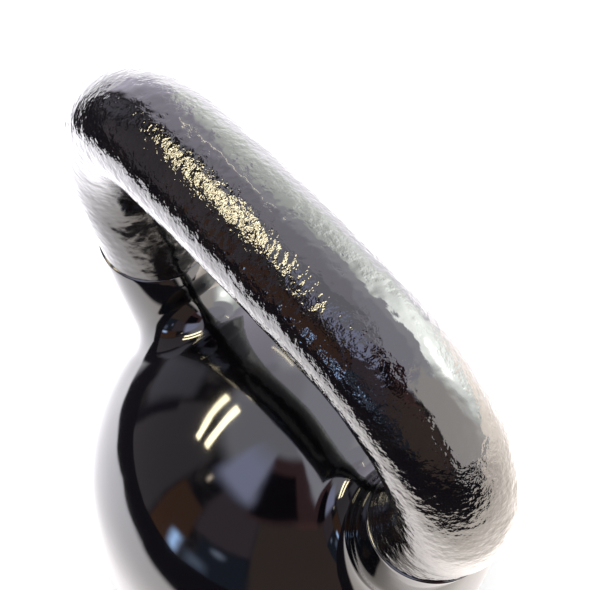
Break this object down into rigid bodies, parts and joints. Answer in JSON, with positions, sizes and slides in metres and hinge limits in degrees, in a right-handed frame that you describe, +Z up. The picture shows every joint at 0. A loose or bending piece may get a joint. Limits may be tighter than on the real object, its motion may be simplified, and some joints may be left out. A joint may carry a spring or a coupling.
{
  "type": "kettlebell",
  "caption": "Round cast kettlebell with a one-piece loop handle, glossy black enamel on the handle and a thick glossy vinyl dip over the bell and lower horns.",
  "frame": {"origin": "centre of the flat base, where the bell stands on the floor", "axes": "+Z up the bell's axis, +X along the grip, +Y square to the plane of the handle"},
  "size_m": [0.177, 0.142, 0.22],
  "materials": {
    "cast_iron": "rough as-cast grey iron, all of it under the coats",
    "black_enamel": "thick high-gloss black enamel that follows the lumps of the casting",
    "black_vinyl": "smooth mirror-gloss dipped vinyl"
  },
  "bodies": {
    "root": {"iron_casting": "cast_iron", "enamel_coat": "black_enamel", "vinyl_jacket": "black_vinyl"}
  },
  "joints": []
}
